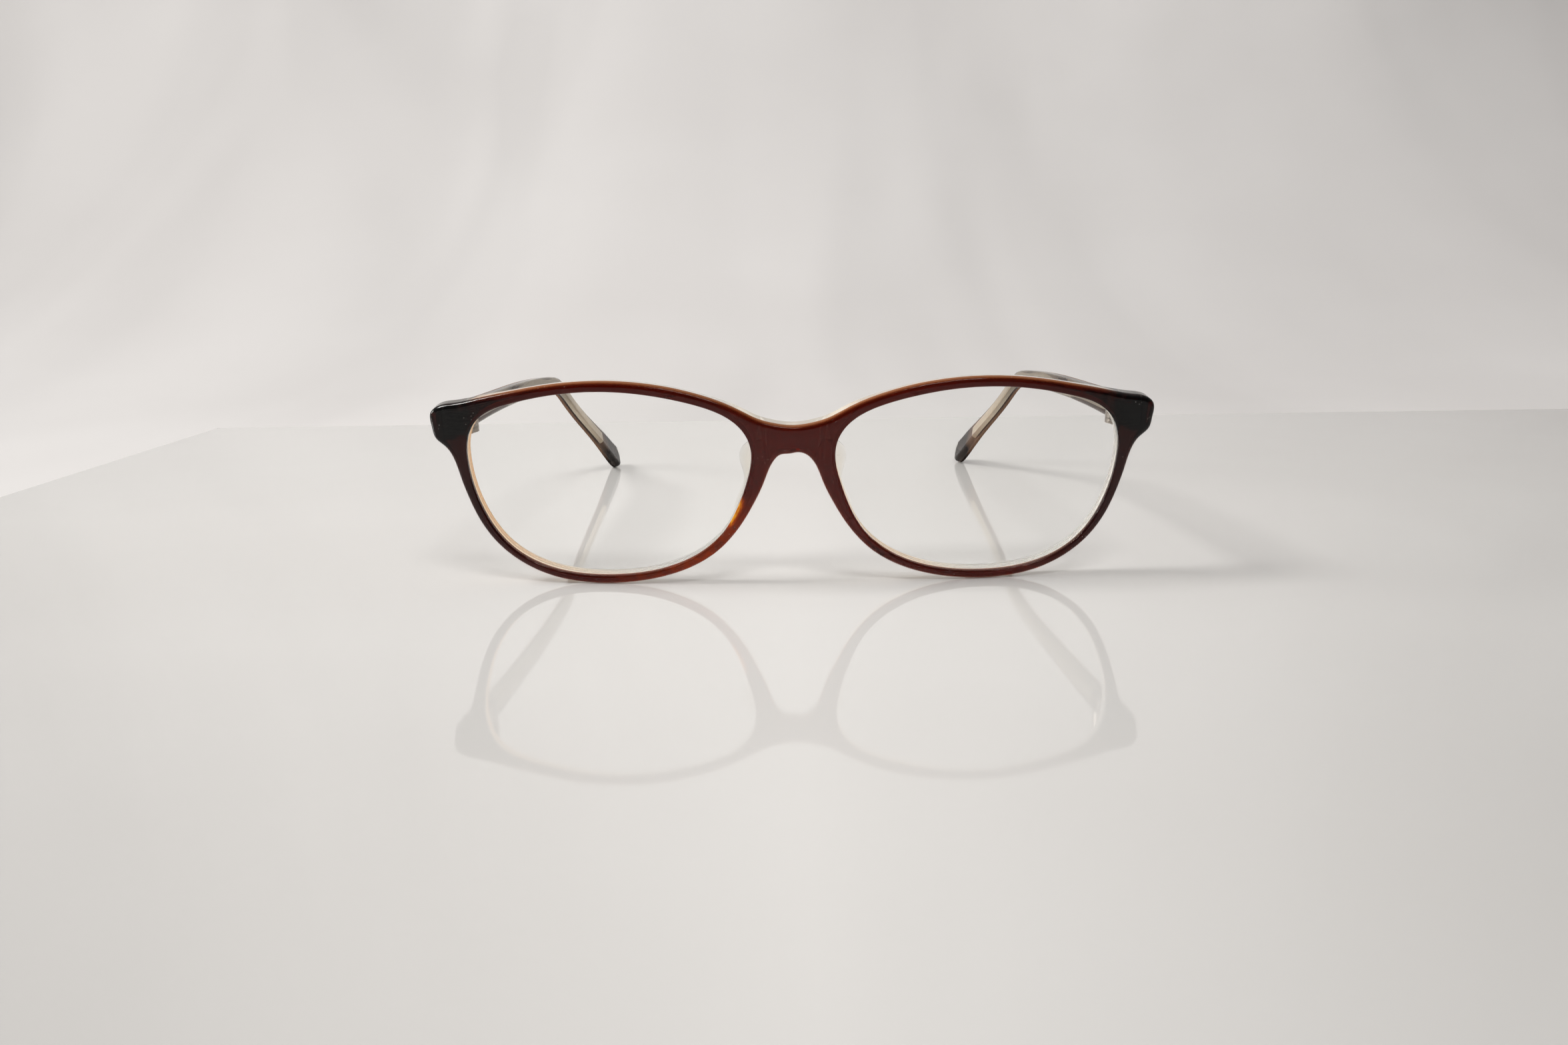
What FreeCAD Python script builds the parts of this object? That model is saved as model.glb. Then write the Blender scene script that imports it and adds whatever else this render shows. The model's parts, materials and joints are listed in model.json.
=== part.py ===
"""Full-rim laminated acetate eyeglasses, temples open, standing on the rim bottoms and temple tips.

Row frame: millimetres, +Z up, the front faces -Y, +X is the wearer's left.  The origin is the centre
of the bounding box on the table (z = 0).  The front is a bowed laminate (thin colour layer on a thick
clear layer) leaning 8 degrees, top forward.  Each temple is the same laminate over a flat metal core,
on a five-knuckle hinge.

Three more frames are used:
  front frame   x, v up the front's own plane, z out of its face; depths behind the face are -z
  hinge frame   on the left pin's axis: outwards along the endpiece, up the pin, towards the face
  temple frame  the row frame before ROW_SHIFT
One-sided pieces are built for the wearer's left and mirrored.
"""
import FreeCAD, Part
import math
import os

Vector = FreeCAD.Vector
os.makedirs("parts", exist_ok=True)

# ---------------------------------------------------------------- shared dimensions (mm, degrees)
TILT = 8.0                # lean of the front, top towards -Y
BOW_R = 400.0             # radius of the bowed front face (axis along v)
COLOUR_T = 1.1            # colour layer of the front
FRONT_T = 4.0             # whole laminate of the front
BOND = 0.01               # bond line between laminated or glued pieces

COLOUR_BACK_R = BOW_R - COLOUR_T
CLEAR_FRONT_R = COLOUR_BACK_R - BOND
BACK_R = BOW_R - FRONT_T

# Puts the middle of the bounding box at y = 0 and the rim bottoms on the table.
ROW_SHIFT = Vector(0, -65.89, -0.36)

# Eye opening on the wearer's left (x, v), counter-clockwise from the nose side as seen from ahead.
EYE = [
    (8.85, 20.03), (10.78, 14.82), (13.09, 10.81), (16.16, 7.66), (20.1, 5.12), (24.66, 3.31),
    (29.72, 2.2), (35.22, 1.74), (40.68, 1.88), (45.59, 2.74), (50.0, 4.4), (53.64, 6.83),
    (56.53, 10.13), (58.76, 14.3), (60.27, 19.03), (60.93, 23.9), (60.62, 28.14), (59.1, 31.32),
    (56.25, 33.7), (51.93, 35.33), (46.2, 36.7), (40.46, 37.54), (34.75, 37.81), (29.02, 37.52),
    (23.27, 36.67), (17.58, 35.31), (13.15, 33.61), (9.93, 31.24), (8.14, 28.27), (7.78, 24.6),
]
# Outline of the front, +X half (x, v), from the underside of the bridge round to its top.
HALF_OUTLINE = [
    (0.0, 26.08), (2.44, 25.73), (3.71, 24.42), (5.49, 20.33), (7.39, 16.32), (9.43, 12.77),
    (11.67, 9.69), (14.14, 7.1), (16.92, 5.01), (20.12, 3.29), (23.68, 1.94), (27.53, 0.95),
    (31.55, 0.34), (35.75, 0.07), (39.87, 0.15), (43.69, 0.61), (47.21, 1.52), (50.48, 2.9),
    (53.48, 4.76), (56.1, 7.03), (58.23, 9.65), (59.97, 12.72), (61.39, 16.32), (62.63, 20.55),
    (63.72, 24.56), (64.98, 26.64), (66.77, 28.31), (67.28, 30.46), (67.22, 33.26), (66.09, 34.3),
    (62.78, 35.1), (57.89, 36.2), (52.28, 37.47), (47.46, 38.46), (42.94, 39.17), (38.49, 39.59),
    (34.08, 39.73), (29.71, 39.56), (25.39, 39.09), (21.15, 38.32), (17.01, 37.23), (13.06, 35.86),
    (9.71, 34.29), (6.58, 32.68), (3.31, 31.73), (0.0, 31.34),
]
OUTLINE = HALF_OUTLINE + [(-x, v) for x, v in reversed(HALF_OUTLINE[1:-1])]
EYE_RIGHT = [(-x, v) for x, v in EYE]


# ---------------------------------------------------------------- helpers
def unit(vector):
    result = Vector(vector.x, vector.y, vector.z)
    result.normalize()
    return result


def eased(x, start, end):
    """Smooth step from 0 at start to 1 at end."""
    k = min(max((x - start) / (end - start), 0.0), 1.0)
    return k * k * (3 - 2 * k)


def closed_spline(points):
    curve = Part.BSplineCurve()
    curve.interpolate(Points=[Vector(x, y, 0) for x, y in points], PeriodicFlag=True)
    return curve


def grown(points, distance, count=72):
    """Points on the closed curve through the given ones, moved outwards by distance."""
    curve = closed_spline(points)
    first, last = curve.FirstParameter, curve.LastParameter
    result = []
    for i in range(count):
        parameter = first + (last - first) * i / count
        point, tangent = curve.value(parameter), curve.tangent(parameter)[0]
        result.append((point.x + tangent.y * distance, point.y - tangent.x * distance))
    return result


def prism(points, z0, z1):
    face = Part.Face(Part.Wire(closed_spline(points).toShape()))
    face.translate(Vector(0, 0, z0))
    return face.extrude(Vector(0, 0, z1 - z0))


def box(x0, x1, y0, y1, z0, z1):
    return Part.makeBox(x1 - x0, y1 - y0, z1 - z0, Vector(x0, y0, z0))


def bow_solid(radius):
    """Everything behind a face of the bow: a cylinder along v whose front side is the face."""
    return Part.makeCylinder(radius, 80, Vector(0, -20, -BOW_R), Vector(0, 1, 0))


def frame_matrix(origin, e1, e2, e3):
    return FreeCAD.Matrix(e1.x, e2.x, e3.x, origin.x,
                          e1.y, e2.y, e3.y, origin.y,
                          e1.z, e2.z, e3.z, origin.z,
                          0, 0, 0, 1)


def moved(shape, matrix):
    result = shape.copy()
    result.Placement = FreeCAD.Placement(matrix).multiply(result.Placement)
    return result


def mirrored(shape):
    return shape.mirror(Vector(0, 0, 0), Vector(1, 0, 0))


def solid(shape):
    """The largest solid of a boolean result."""
    return max(shape.Solids, key=lambda s: s.Volume)


def edge_points(edge):
    first, last = edge.FirstParameter, edge.LastParameter
    return [edge.valueAt(first + (last - first) * k / 4.0) for k in range(5)]


def filleted(shape, radius, test):
    """Round the edges that pass the test, at a smaller radius where the full one can't be built."""
    edges = [e for e in shape.Edges if test(e)]
    for r in (radius, radius * 0.8, radius * 0.6, radius * 0.4):
        # Guards against a radius the kernel can't build on these spline edges.
        try:
            result = shape.makeFillet(r, edges)
            if result.isValid() and len(result.Solids) == 1 and result.Volume > 0:
                return result.Solids[0]
        except Exception:
            pass
    return shape


def front_to_row():
    tilt = math.radians(TILT)
    s, c = math.sin(tilt), math.cos(tilt)
    return frame_matrix(ROW_SHIFT, Vector(1, 0, 0), Vector(0, -s, c), Vector(0, -c, -s))


FRONT_TO_ROW = front_to_row()

# ---------------------------------------------------------------- lenses and their grooves
EYE_X, EYE_V = 34.3, 19.75    # centre of the eye opening
LENS_R = 140.0            # front curve of the lenses
LENS_T = 1.8
LENS_SINK = 0.10          # lens apex below the front face
LENS_GAP = 0.05           # play between lens edge and rim
BEVEL_H = 0.55            # how far the lens bevel reaches into the groove
BEVEL_FRONT, BEVEL_BACK = 0.55, 1.25      # bevel, as depth below the lens front surface
BEVEL_CHAMFER = 0.28
GROOVE_PLAY = 0.05
LENS_BLANK_Z = (-20, 10)


def lens_sphere_centre():
    angle = math.asin(EYE_X / BOW_R)
    normal = Vector(math.sin(angle), 0, math.cos(angle))
    on_face = Vector(EYE_X, EYE_V, -BOW_R + BOW_R * math.cos(angle))
    return on_face - normal * (LENS_R + LENS_SINK)


LENS_CENTRE = lens_sphere_centre()


def dome(depth):
    return Part.makeSphere(LENS_R - depth, LENS_CENTRE, Vector(0, 1, 0))


def lens_slab(growth, front_depth, back_depth):
    """The eye shape grown by growth, between two depths below the lens front surface."""
    blank = prism(grown(EYE, growth), *LENS_BLANK_Z)
    return blank.common(dome(front_depth)).cut(dome(back_depth))


def bevel_rim(edge):
    """True for the two edges at the bevel's outer rim."""
    distances = [(point - LENS_CENTRE).Length for point in edge_points(edge)]
    return any(all(abs(d - (LENS_R - depth)) < 0.01 for d in distances)
               for depth in (BEVEL_FRONT, BEVEL_BACK))


def make_lens():
    body = lens_slab(-LENS_GAP, 0.0, LENS_T)
    bevel = solid(lens_slab(BEVEL_H, BEVEL_FRONT, BEVEL_BACK))
    # Guards the chamfer round the spline rim: the bevel stays square if it can't be built.
    try:
        chamfered = bevel.makeChamfer(BEVEL_CHAMFER, [e for e in bevel.Edges if bevel_rim(e)])
        if chamfered.isValid() and len(chamfered.Solids) == 1:
            bevel = chamfered.Solids[0]
    except Exception:
        pass
    return solid(solid(body).fuse(bevel))


def lens_groove():
    return lens_slab(BEVEL_H + GROOVE_PLAY, BEVEL_FRONT - GROOVE_PLAY, BEVEL_BACK + GROOVE_PLAY)


# ---------------------------------------------------------------- hinges, in the hinge frame
HINGE_ANGLE = 8.9         # where the hinge sits on the bow, degrees from the middle
HINGE_DEPTH = 1.8         # pin axis behind the endpiece's back face
HINGE_V = 30.8            # middle of the barrel
KNUCKLE_R = 1.5
KNUCKLE_N = 5
BARREL_H = 4.8
KNUCKLE_GAP = 0.05
BORE_R = 0.65
THREAD_R = 0.625          # bore of the lowest knuckle
BORE_OVERRUN = 0.2

SCREW_R = 0.60
SCREW_END_INSET = 0.1     # screw end above the barrel's underside
HEAD_R = 1.15
HEAD_H = 0.55
HEAD_FILLET = 0.18
HEAD_CLEARANCE = 0.02     # head above the upper knuckle
SLOT_W = 0.30
SLOT_D = 0.28

LEAF_T = 0.8
LEAF_PLAY = 0.02          # between a leaf and its pocket
LEAF_L = 4.0              # front leaf, outwards from the pin
LEAF_HALF_H = 2.2
ANCHOR_R = 0.45           # pegs on the leaves
ANCHOR_OVERLAP = 0.05     # peg root inside the leaf
FRONT_ANCHOR_X = 2.8
FRONT_ANCHOR_H = 1.4
FRONT_ANCHOR_YS = (-1.25, 1.25)

HALF_BARREL = BARREL_H / 2.0
PITCH = BARREL_H / KNUCKLE_N


def hinge_to_front():
    angle = math.radians(HINGE_ANGLE)
    s, c = math.sin(angle), math.cos(angle)
    radius = BACK_R - HINGE_DEPTH
    return frame_matrix(Vector(radius * s, HINGE_V, -BOW_R + radius * c),
                        Vector(c, 0, -s), Vector(0, 1, 0), Vector(s, 0, c))


HINGE_TO_FRONT = hinge_to_front()


def pin_cylinder(radius, height, y):
    return Part.makeCylinder(radius, height, Vector(0, y, 0), Vector(0, 1, 0))


def knuckle(index, bore_r):
    """Knuckle counted from the bottom: (barrel, its bottom, its top, the cutter of its bore)."""
    y0 = -HALF_BARREL + index * PITCH + KNUCKLE_GAP / 2
    height = PITCH - KNUCKLE_GAP
    bore = pin_cylinder(bore_r, height + 2 * BORE_OVERRUN, y0 - BORE_OVERRUN)
    return pin_cylinder(KNUCKLE_R, height, y0), y0, y0 + height, bore


def front_anchor(y, play):
    root = Vector(FRONT_ANCHOR_X, y, HINGE_DEPTH + LEAF_T - ANCHOR_OVERLAP)
    return Part.makeCylinder(ANCHOR_R + play, FRONT_ANCHOR_H + 2 * play, root, Vector(0, 0, 1))


def make_front_leaf():
    """Three knuckles on a plate let into the endpiece's back face, held by two pegs."""
    leaf = box(0.0, LEAF_L, -LEAF_HALF_H, LEAF_HALF_H, HINGE_DEPTH, HINGE_DEPTH + LEAF_T)
    bores = []
    for i in (0, 2, 4):
        barrel, y0, y1, bore = knuckle(i, THREAD_R if i == 0 else BORE_R)
        leaf = leaf.fuse(barrel)
        # Block from the barrel to just short of the endpiece, then its root in the plate.
        leaf = leaf.fuse(box(-1.0, 1.2, y0, y1, 0.0, HINGE_DEPTH - 0.06))
        leaf = leaf.fuse(box(0.02, 1.2, max(y0, -LEAF_HALF_H), min(y1, LEAF_HALF_H),
                             HINGE_DEPTH - 0.2, HINGE_DEPTH + 0.3))
        bores.append(bore)
    for y in FRONT_ANCHOR_YS:
        leaf = leaf.fuse(front_anchor(y, 0.0))
    for bore in bores:
        leaf = leaf.cut(bore)
    return solid(leaf.removeSplitter())


def front_leaf_pocket():
    """Cutter for the front leaf's seat, in the front frame."""
    play = LEAF_PLAY
    pocket = box(-play, LEAF_L + play, -LEAF_HALF_H - play, LEAF_HALF_H + play,
                 HINGE_DEPTH - 1.0, HINGE_DEPTH + LEAF_T + play)
    for y in FRONT_ANCHOR_YS:
        pocket = pocket.fuse(front_anchor(y, play))
    return moved(pocket, HINGE_TO_FRONT)


def make_screw():
    """Slotted cheese-head screw, its head over the upper knuckle and its end in the lowest one."""
    head_y = HALF_BARREL - KNUCKLE_GAP / 2 + HEAD_CLEARANCE
    head_top = head_y + HEAD_H
    end_y = -HALF_BARREL + SCREW_END_INSET
    shank = pin_cylinder(SCREW_R, head_y - end_y, end_y)
    head = pin_cylinder(HEAD_R, HEAD_H, head_y)
    top_edges = [e for e in head.Edges if abs(e.CenterOfMass.y - head_top) < 1e-6]
    head = head.makeFillet(HEAD_FILLET, top_edges)
    screw = shank.fuse(head)
    screw = screw.cut(box(-2, 2, head_top - SLOT_D, head_top + 1, -SLOT_W / 2, SLOT_W / 2))
    return solid(screw.removeSplitter())


# ---------------------------------------------------------------- front laminate
BACK_DRAFT = 0.45         # how far the clear layer's top leans in over the eyes, bond to back
BLANK_Z = (-16, 3)
EYE_CUT_Z = (-17, 4)
DRAFT_Z = (2.0, -13.0)
COLOUR_OUTLINE_FILLET, COLOUR_EYE_FILLET = 0.95, 0.35
CLEAR_OUTLINE_FILLET, CLEAR_EYE_FILLET = 0.70, 0.45
EYE_SIDE_X = 5            # an eye opening's edges stay outside this x; the outline's cross it


def cut_eyes(shape):
    for points in (EYE, EYE_RIGHT):
        shape = shape.cut(prism(points, *EYE_CUT_Z))
    return shape


def drafted_outline(z):
    """The outline at height z, its top over the eyes leaning in towards the back."""
    curve = closed_spline(OUTLINE)
    moves = []
    for i in range(1, curve.NbPoles + 1):
        pole = curve.getPole(i)
        tangent = curve.tangent(curve.parameter(pole))[0]
        x = abs(pole.x)
        share = eased(x, 9.0, 17.0) * (1 - eased(x, 50.0, 61.0)) * eased(pole.y, 30.0, 33.0)
        bond_depth = COLOUR_T + x * x / (2 * BOW_R)
        shift = -BACK_DRAFT * share * (-z - bond_depth) / (FRONT_T - COLOUR_T)
        moves.append((i, Vector(pole.x + tangent.y * shift, pole.y - tangent.x * shift, 0)))
    for i, target in moves:
        curve.setPole(i, target)
    wire = Part.Wire(curve.toShape())
    wire.translate(Vector(0, 0, z))
    return wire


def face_edges(radius, of_eyes):
    """Test for edges on the bow face of that radius: the eye openings' or the outline's."""
    def test(edge):
        if any(abs(math.hypot(p.x, p.z + BOW_R) - radius) >= 0.02 for p in edge_points(edge)):
            return False
        bounds = edge.BoundBox
        return (bounds.XMin > EYE_SIDE_X or bounds.XMax < -EYE_SIDE_X) == of_eyes
    return test


def make_front_colour():
    blank = cut_eyes(prism(OUTLINE, *BLANK_Z))
    layer = solid(blank.common(bow_solid(BOW_R)).cut(bow_solid(COLOUR_BACK_R)))
    layer = filleted(layer, COLOUR_OUTLINE_FILLET, face_edges(BOW_R, False))
    return filleted(layer, COLOUR_EYE_FILLET, face_edges(BOW_R, True))


def make_front_clear():
    blank = cut_eyes(Part.makeLoft([drafted_outline(z) for z in DRAFT_Z], True, True))
    layer = solid(blank.common(bow_solid(CLEAR_FRONT_R)).cut(bow_solid(BACK_R)))
    layer = filleted(layer, CLEAR_OUTLINE_FILLET, face_edges(BACK_R, False))
    layer = filleted(layer, CLEAR_EYE_FILLET, face_edges(BACK_R, True))
    for cutter in (lens_groove(), front_leaf_pocket()):
        layer = layer.cut(cutter).cut(mirrored(cutter))
    return solid(layer)


# ---------------------------------------------------------------- nose pads
# Sections at one v each, (x, depth), from the nose side, over the back, to the lens side.
PAD = [
    (12.2, [(10.4, 2.6), (10.35, 4.0), (10.6, 4.7), (11.0, 4.95),
            (11.5, 4.7), (11.6, 4.0), (11.5, 2.6), (11.0, 2.2)]),
    (14.0, [(9.05, 2.6), (9.1, 4.3), (9.6, 5.6), (10.5, 6.2),
            (11.1, 5.8), (11.1, 4.4), (10.9, 2.6), (9.95, 2.0)]),
    (16.6, [(7.6, 2.6), (7.75, 4.5), (8.5, 6.4), (9.6, 7.2),
            (10.2, 6.7), (10.1, 4.9), (9.8, 2.6), (8.7, 1.9)]),
    (19.8, [(6.1, 2.6), (6.3, 4.7), (7.3, 6.9), (8.6, 7.9),
            (9.2, 7.3), (9.0, 5.2), (8.5, 2.6), (7.3, 1.9)]),
    (22.6, [(4.95, 2.6), (5.3, 4.6), (6.7, 6.8), (8.8, 7.9),
            (9.9, 7.3), (9.2, 5.2), (7.9, 2.6), (6.3, 1.9)]),
    (24.8, [(4.3, 2.6), (4.6, 4.3), (6.2, 6.3), (8.7, 7.4),
            (9.9, 6.9), (9.0, 4.9), (7.5, 2.6), (5.7, 2.0)]),
    (26.9, [(4.5, 2.6), (4.8, 3.9), (5.8, 5.3), (7.6, 6.1),
            (8.6, 5.6), (8.0, 4.2), (7.1, 2.6), (5.7, 2.2)]),
    (28.0, [(5.2, 2.6), (5.3, 3.9), (5.6, 4.4), (6.1, 4.65),
            (6.6, 4.4), (6.7, 3.9), (6.6, 2.6), (5.9, 2.3)]),
]


def pad_section(v, points):
    curve = Part.BSplineCurve()
    curve.interpolate(Points=[Vector(x, v, -depth) for x, depth in points], PeriodicFlag=True)
    return Part.Wire(curve.toShape())


def make_nose_pad():
    pad = Part.makeLoft([pad_section(v, points) for v, points in PAD], True, False)
    return solid(pad.common(bow_solid(BACK_R - BOND)))


# ---------------------------------------------------------------- temples, in the temple frame
# Middle of the section (x, y, z), height, thickness, twist in degrees (top leaning outwards).
STATIONS = [
    (65.10, 1.0, 31.45, 6.2, 3.40, 0.0),
    (65.00, 5.0, 31.45, 6.2, 3.40, 0.0),
    (64.75, 9.0, 31.50, 6.0, 3.40, 0.0),
    (64.35, 16.0, 31.60, 5.3, 3.35, 0.0),
    (63.85, 24.0, 31.70, 4.7, 3.25, 0.0),
    (62.95, 40.0, 31.75, 4.2, 3.00, 0.0),
    (61.90, 58.0, 31.50, 4.1, 2.85, 0.0),
    (60.90, 75.0, 30.75, 3.9, 2.70, 3.0),
    (60.25, 86.0, 29.85, 3.8, 2.65, 7.0),
    (59.85, 92.0, 28.80, 3.7, 2.60, 10.0),
    (59.35, 97.0, 26.65, 3.6, 2.60, 13.0),
    (58.65, 101.5, 23.80, 3.6, 2.60, 16.0),
    (57.00, 109.5, 18.60, 3.8, 2.60, 19.0),
    (54.75, 118.5, 12.90, 4.6, 2.60, 19.0),
    (52.90, 126.5, 7.90, 5.9, 2.70, 17.0),
    (52.00, 130.5, 5.31, 6.3, 2.75, 16.0),
]
TIP_R = 3.15              # half height of the rounded tip
TIP_CENTRE = Vector(51.35, 133.30, 3.56)
# Sections of the tip: distance past its centre, share of the last station's thickness.
TIP_STEPS = [(0.0, 1.0), (0.9, 0.98), (1.7, 0.93), (2.35, 0.83), (2.8, 0.69), (3.05, 0.52)]

TEMPLE_COLOUR_T = 1.0
FULL_COLOUR_T = 2.6       # in temples thinner than this the colour layer thins in proportion
CORNER_R = 0.80
TIP_CORNER_EXTRA = 0.35   # added to the clear layer's corners towards the tip
CORE_T, CORE_H = 0.9, 2.6     # flat core wire
CORE_PLAY = 0.02
CORE_FROM, CORE_TO = 19.5, 122.0      # y where the core starts and stops
BUTT_GAP = 0.05           # temple butt to endpiece when open

PLATE_L, PLATE_H = 8.4, 3.2   # temple leaf's plate
PLATE_AT = 4.0            # y behind the pin where the plate takes its direction
PLATE_LEAD = 3.6          # plate's front end ahead of that place
PLATE_ANCHORS = (3.4, 6.8)    # pegs, along the plate
PLATE_ANCHOR_H = 0.55
NECK_END = 2.75           # necks run outwards from the pin axis to here
NECK_BACK, NECK_FRONT = -2.6, -0.45
NECK_CUT_START = 1.0


def temple_frames():
    """(position, outward, up, along, height, thickness) at each station, tip included."""
    stations = [(Vector(x, y, z), height, thick, twist)
                for x, y, z, height, thick, twist in STATIONS]
    last_pos, _, last_thick, last_twist = stations[-1]
    run = unit(TIP_CENTRE - last_pos)
    for distance, share in TIP_STEPS:
        height = 2 * math.sqrt(TIP_R ** 2 - distance ** 2)
        stations.append((TIP_CENTRE + run * distance, height, last_thick * share, last_twist))
    result = []
    for i, (pos, height, thick, twist) in enumerate(stations):
        before = stations[max(i - 1, 0)][0]
        after = stations[min(i + 1, len(stations) - 1)][0]
        along = unit(after - before)
        level_out = unit(along.cross(Vector(0, 0, 1)))
        level_up = unit(level_out.cross(along))
        s, c = math.sin(math.radians(twist)), math.cos(math.radians(twist))
        outward = level_out * c - level_up * s
        up = level_up * c + level_out * s
        result.append((pos, outward, up, along, height, thick))
    return result


FRAMES = temple_frames()


def frame_at(y):
    """(position, outward, up, along, thickness) of the temple at a y between stations."""
    for start, end in zip(FRAMES, FRAMES[1:]):
        y0, y1 = start[0].y, end[0].y
        if y0 <= y <= y1:
            k = (y - y0) / (y1 - y0)
            pos, outward, up, along, _, thick = [a * (1 - k) + b * k for a, b in zip(start, end)]
            return pos, unit(outward), unit(up), unit(along), thick


def ring(pos, outward, up, flat, rounded, height, corner_r):
    """Section between two outward offsets, its corners rounded on the second one's side."""
    side = 1.0 if rounded > flat else -1.0
    corner_r = min(corner_r, 0.45 * height, 0.8 * abs(rounded - flat))
    inset = corner_r * (1 - math.sqrt(0.5))
    half = height / 2

    def at(offset, rise):
        return pos + outward * offset + up * rise

    flat_low, flat_high = at(flat, -half), at(flat, half)
    top_start = at(rounded - side * corner_r, half)
    top_middle = at(rounded - side * inset, half - inset)
    top_end = at(rounded, half - corner_r)
    low_start = at(rounded, -half + corner_r)
    low_middle = at(rounded - side * inset, -half + inset)
    low_end = at(rounded - side * corner_r, -half)
    return Part.Wire([
        Part.makeLine(flat_low, flat_high),
        Part.makeLine(flat_high, top_start),
        Part.Arc(top_start, top_middle, top_end).toShape(),
        Part.makeLine(top_end, low_start),
        Part.Arc(low_start, low_middle, low_end).toShape(),
        Part.makeLine(low_end, flat_low),
    ])


def bond_offset(thick):
    return thick / 2 - TEMPLE_COLOUR_T * min(1.0, thick / FULL_COLOUR_T)


def butted(layer):
    """The layer trimmed just behind the endpiece's back face."""
    cutter = moved(bow_solid(BACK_R - BUTT_GAP), FRONT_TO_ROW)
    cutter.translate(ROW_SHIFT * -1)
    return solid(layer.common(cutter))


def make_temple_colour():
    wires = [ring(pos, outward, up, bond_offset(thick) + BOND / 2, thick / 2, height, CORNER_R)
             for pos, outward, up, along, height, thick in FRAMES]
    return butted(solid(Part.makeLoft(wires, True, False)))


def make_core(play):
    """The flat wire along the middle of the clear layer, or the cutter of its channel."""
    inner_ys = [frame[0].y for frame in FRAMES if CORE_FROM + 1 < frame[0].y < CORE_TO - 1]
    middle = -TEMPLE_COLOUR_T / 2.0
    half_t, half_h = CORE_T / 2 + play, CORE_H / 2 + play
    wires = []
    for y in [CORE_FROM - play] + inner_ys + [CORE_TO + play]:
        pos, outward, up, _, _ = frame_at(y)
        corners = [pos + outward * (middle + a) + up * b for a, b in
                   ((-half_t, -half_h), (half_t, -half_h), (half_t, half_h), (-half_t, half_h))]
        wires.append(Part.makePolygon(corners + [corners[0]]))
    return solid(Part.makeLoft(wires, True, False))


def hinge_to_temple():
    matrix = FRONT_TO_ROW.multiply(HINGE_TO_FRONT)
    matrix.A24 -= ROW_SHIFT.y
    matrix.A34 -= ROW_SHIFT.z
    return matrix


HINGE_TO_TEMPLE = hinge_to_temple()


def plate_frame():
    """Frame on the temple's inner face: along the temple, up, outwards."""
    pin = HINGE_TO_TEMPLE.multVec(Vector(0, 0, 0))
    pos, outward, up, along, thick = frame_at(pin.y + PLATE_AT)
    inner_face = pos - outward * (thick / 2)
    return frame_matrix(inner_face - along * PLATE_LEAD, along, up, outward)


def temple_plate(play):
    """Plate and pegs; with play, the cutter of their pocket, open through the inner face."""
    matrix = plate_frame()
    plate = moved(box(-play, PLATE_L + play, -PLATE_H / 2 - play, PLATE_H / 2 + play,
                      -0.6 if play else 0.0, LEAF_T + play), matrix)
    for x in PLATE_ANCHORS:
        peg = Part.makeCylinder(ANCHOR_R + play, PLATE_ANCHOR_H + play,
                                Vector(x, 0, LEAF_T - ANCHOR_OVERLAP), Vector(0, 0, 1))
        plate = plate.fuse(moved(peg, matrix))
    return plate


def neck(x0, y0, y1, play):
    return moved(box(x0, NECK_END + play, y0 - play, y1 + play,
                     NECK_BACK - play, NECK_FRONT + play), HINGE_TO_TEMPLE)


def make_temple_leaf():
    """Two knuckles, a neck at each, and a plate let into the temple's inner face."""
    leaf = temple_plate(0.0)
    bores = []
    for i in (1, 3):
        barrel, y0, y1, bore = knuckle(i, BORE_R)
        leaf = leaf.fuse(moved(barrel, HINGE_TO_TEMPLE))
        leaf = leaf.fuse(neck(0.0, y0, y1, 0.0))
        bores.append(moved(bore, HINGE_TO_TEMPLE))
    for bore in bores:
        leaf = leaf.cut(bore)
    return solid(leaf.removeSplitter())


def make_temple_clear():
    wires = []
    for pos, outward, up, along, height, thick in FRAMES:
        corner_r = CORNER_R + TIP_CORNER_EXTRA * eased(pos.y, 121.0, 130.0)
        wires.append(ring(pos, outward, up, bond_offset(thick) - BOND / 2, -thick / 2,
                          height, corner_r))
    layer = solid(Part.makeLoft(wires, True, False))
    layer = butted(solid(layer.cut(make_core(CORE_PLAY))))
    layer = layer.cut(temple_plate(LEAF_PLAY))
    for i in (1, 3):
        _, y0, y1, _ = knuckle(i, BORE_R)
        layer = layer.cut(neck(NECK_CUT_START, y0, y1, LEAF_PLAY))
    return solid(layer)


# ---------------------------------------------------------------- write every piece
def write(name, shape):
    shape.exportStep("parts/%s.step" % name)


write("front_colour_layer", moved(make_front_colour(), FRONT_TO_ROW))
write("front_clear_layer", moved(make_front_clear(), FRONT_TO_ROW))

left = {
    "lens": moved(make_lens(), FRONT_TO_ROW),
    "nose_pad": moved(make_nose_pad(), FRONT_TO_ROW),
    "front_hinge_leaf": moved(moved(make_front_leaf(), HINGE_TO_FRONT), FRONT_TO_ROW),
    "hinge_screw": moved(moved(make_screw(), HINGE_TO_FRONT), FRONT_TO_ROW),
    "temple_colour_layer": make_temple_colour(),
    "temple_clear_layer": make_temple_clear(),
    "temple_core_wire": make_core(0.0),
    "temple_hinge_leaf": make_temple_leaf(),
}
for name, shape in left.items():
    if name.startswith("temple"):
        shape.translate(ROW_SHIFT)
    write(name + "_left", shape)
    write(name + "_right", mirrored(shape))
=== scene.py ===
"""Looks of laminated full-rim eyeglasses: each CAD piece keeps its shape and gets its material.

Metres. Width runs along x with the bridge at x = 0, +y points away from the camera and z is up.
The glasses stand on a glossy sheet whose top is z = 0. The front leans 8 degrees off upright.
Left means low x in the comments; the pieces' own names follow the CAD file.
"""
import bpy
import json
import math
from mathutils import Vector, Matrix
from mathutils.bvhtree import BVHTree

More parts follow.
